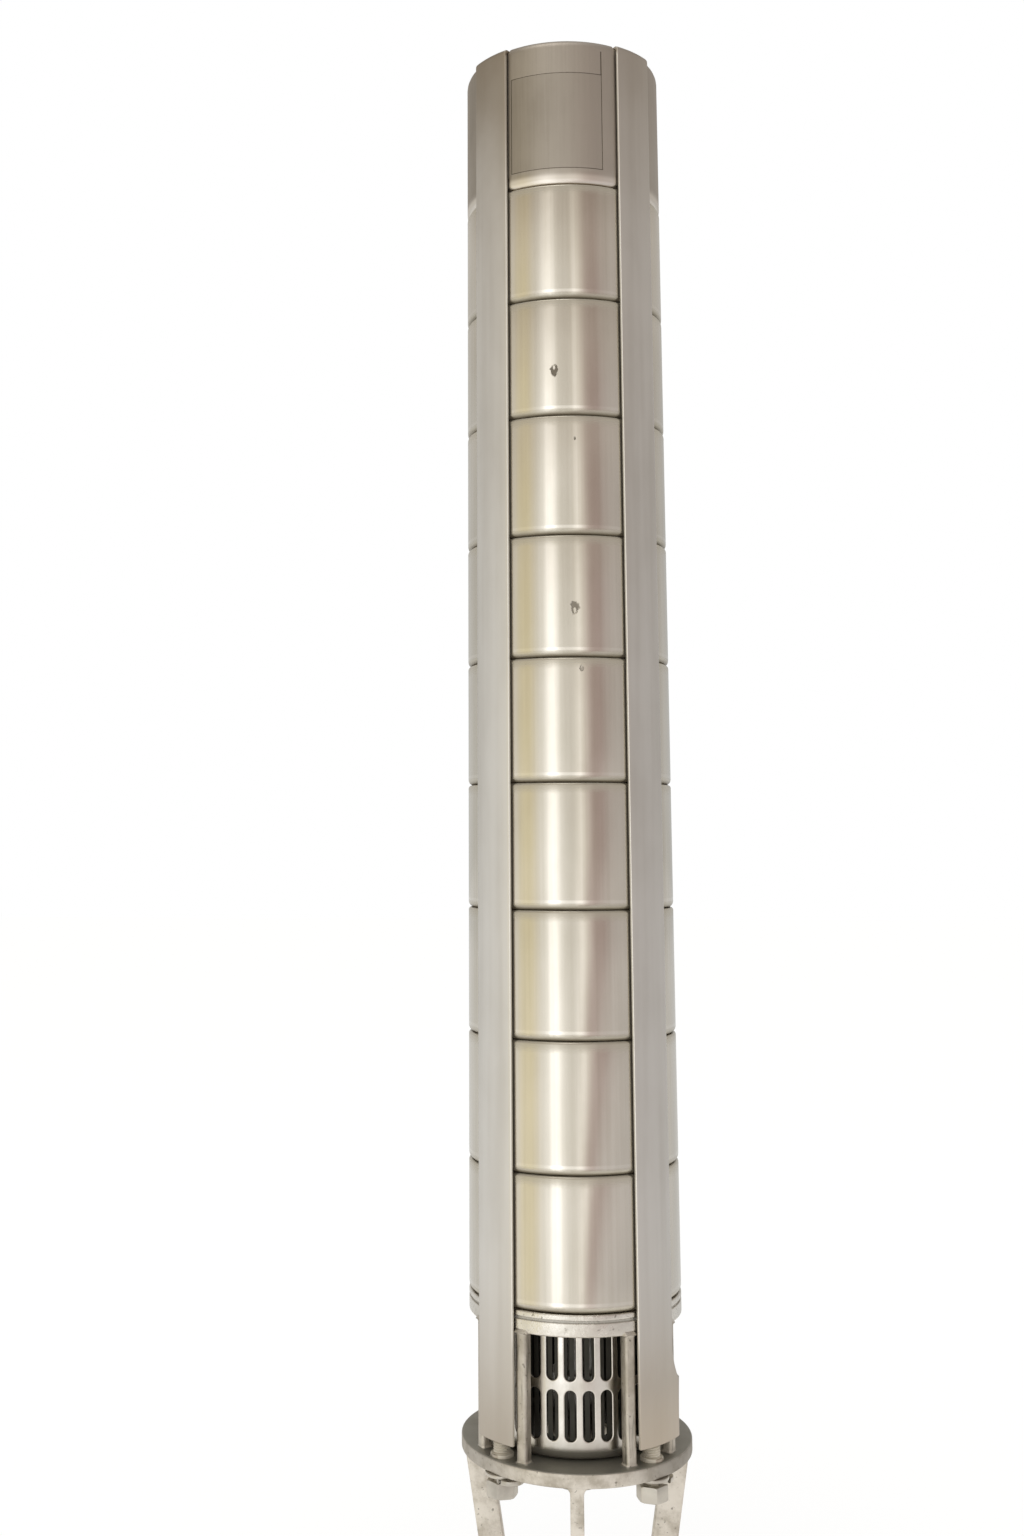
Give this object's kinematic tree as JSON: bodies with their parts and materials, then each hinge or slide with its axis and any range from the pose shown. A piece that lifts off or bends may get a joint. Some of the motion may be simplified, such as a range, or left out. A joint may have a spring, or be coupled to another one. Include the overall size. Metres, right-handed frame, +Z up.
{
  "type": "submersible multistage borehole pump end",
  "caption": "Stainless multistage borehole pump end: strapped stage chambers, slotted inlet, check valve and a lantern flange for its motor.",
  "frame": {"origin": "centre of the motor flange's lower face", "axes": "+Z up along the shaft towards the discharge, -Y towards the front inlet window"},
  "size_m": [0.188, 0.188, 1.326],
  "materials": {
    "drawn_chamber": "satin",
    "pressed_steel": "satin",
    "strap_sheet": "satin",
    "suction_casting": "as cast",
    "discharge_casting": "turned",
    "strainer_sheet": "satin",
    "fastener_steel": "bright",
    "turned_steel": "turned",
    "black_rubber": "matt"
  },
  "bodies": {
    "pump_casing": {"suction_casing": "suction_casting", "inlet_strainer": "strainer_sheet", "inlet_screen": "strainer_sheet", "strap_front_left": "strap_sheet", "strap_front_right": "strap_sheet", "strap_rear_left": "strap_sheet", "strap_rear_right": "strap_sheet", "strap_washers": "fastener_steel", "strap_lock_washers": "fastener_steel", "strap_nuts": "fastener_steel", "stage_chamber_1": "drawn_chamber", "stage_chamber_2": "drawn_chamber", "stage_chamber_3": "drawn_chamber", "stage_chamber_4": "drawn_chamber", "stage_chamber_5": "drawn_chamber", "stage_chamber_6": "drawn_chamber", "stage_chamber_7": "drawn_chamber", "stage_chamber_8": "drawn_chamber", "stage_chamber_9": "drawn_chamber", "guide_vanes_1": "pressed_steel", "guide_vanes_2": "pressed_steel", "guide_vanes_3": "pressed_steel", "guide_vanes_4": "pressed_steel", "guide_vanes_5": "pressed_steel", "guide_vanes_6": "pressed_steel", "guide_vanes_7": "pressed_steel", "guide_vanes_8": "pressed_steel", "guide_vanes_9": "pressed_steel", "neck_rings": "black_rubber", "stage_bearings": "black_rubber", "upthrust_ring": "black_rubber", "discharge_casing": "discharge_casting", "valve_seat": "turned_steel", "valve_seal": "black_rubber", "valve_guide": "turned_steel", "valve_guide_clip": "fastener_steel"},
    "rotor": {"shaft": "turned_steel", "shaft_coupling": "turned_steel", "coupling_grub_screws": "fastener_steel", "split_cones": "turned_steel", "cone_nuts": "fastener_steel", "impeller_1": "pressed_steel", "impeller_2": "pressed_steel", "impeller_3": "pressed_steel", "impeller_4": "pressed_steel", "impeller_5": "pressed_steel", "impeller_6": "pressed_steel", "impeller_7": "pressed_steel", "impeller_8": "pressed_steel", "impeller_9": "pressed_steel"},
    "valve": {"valve_cup": "turned_steel"}
  },
  "joints": [
    {"name": "rotor_spin", "type": "hinge", "parent": "pump_casing", "child": "rotor", "pos_m": [0, 0, 0.7], "axis": [0, 0, 1], "continuous": true},
    {"name": "valve_lift", "type": "slide", "parent": "pump_casing", "child": "valve", "axis": [0, 0, 1], "range_m": [0, 0.018]}
  ]
}
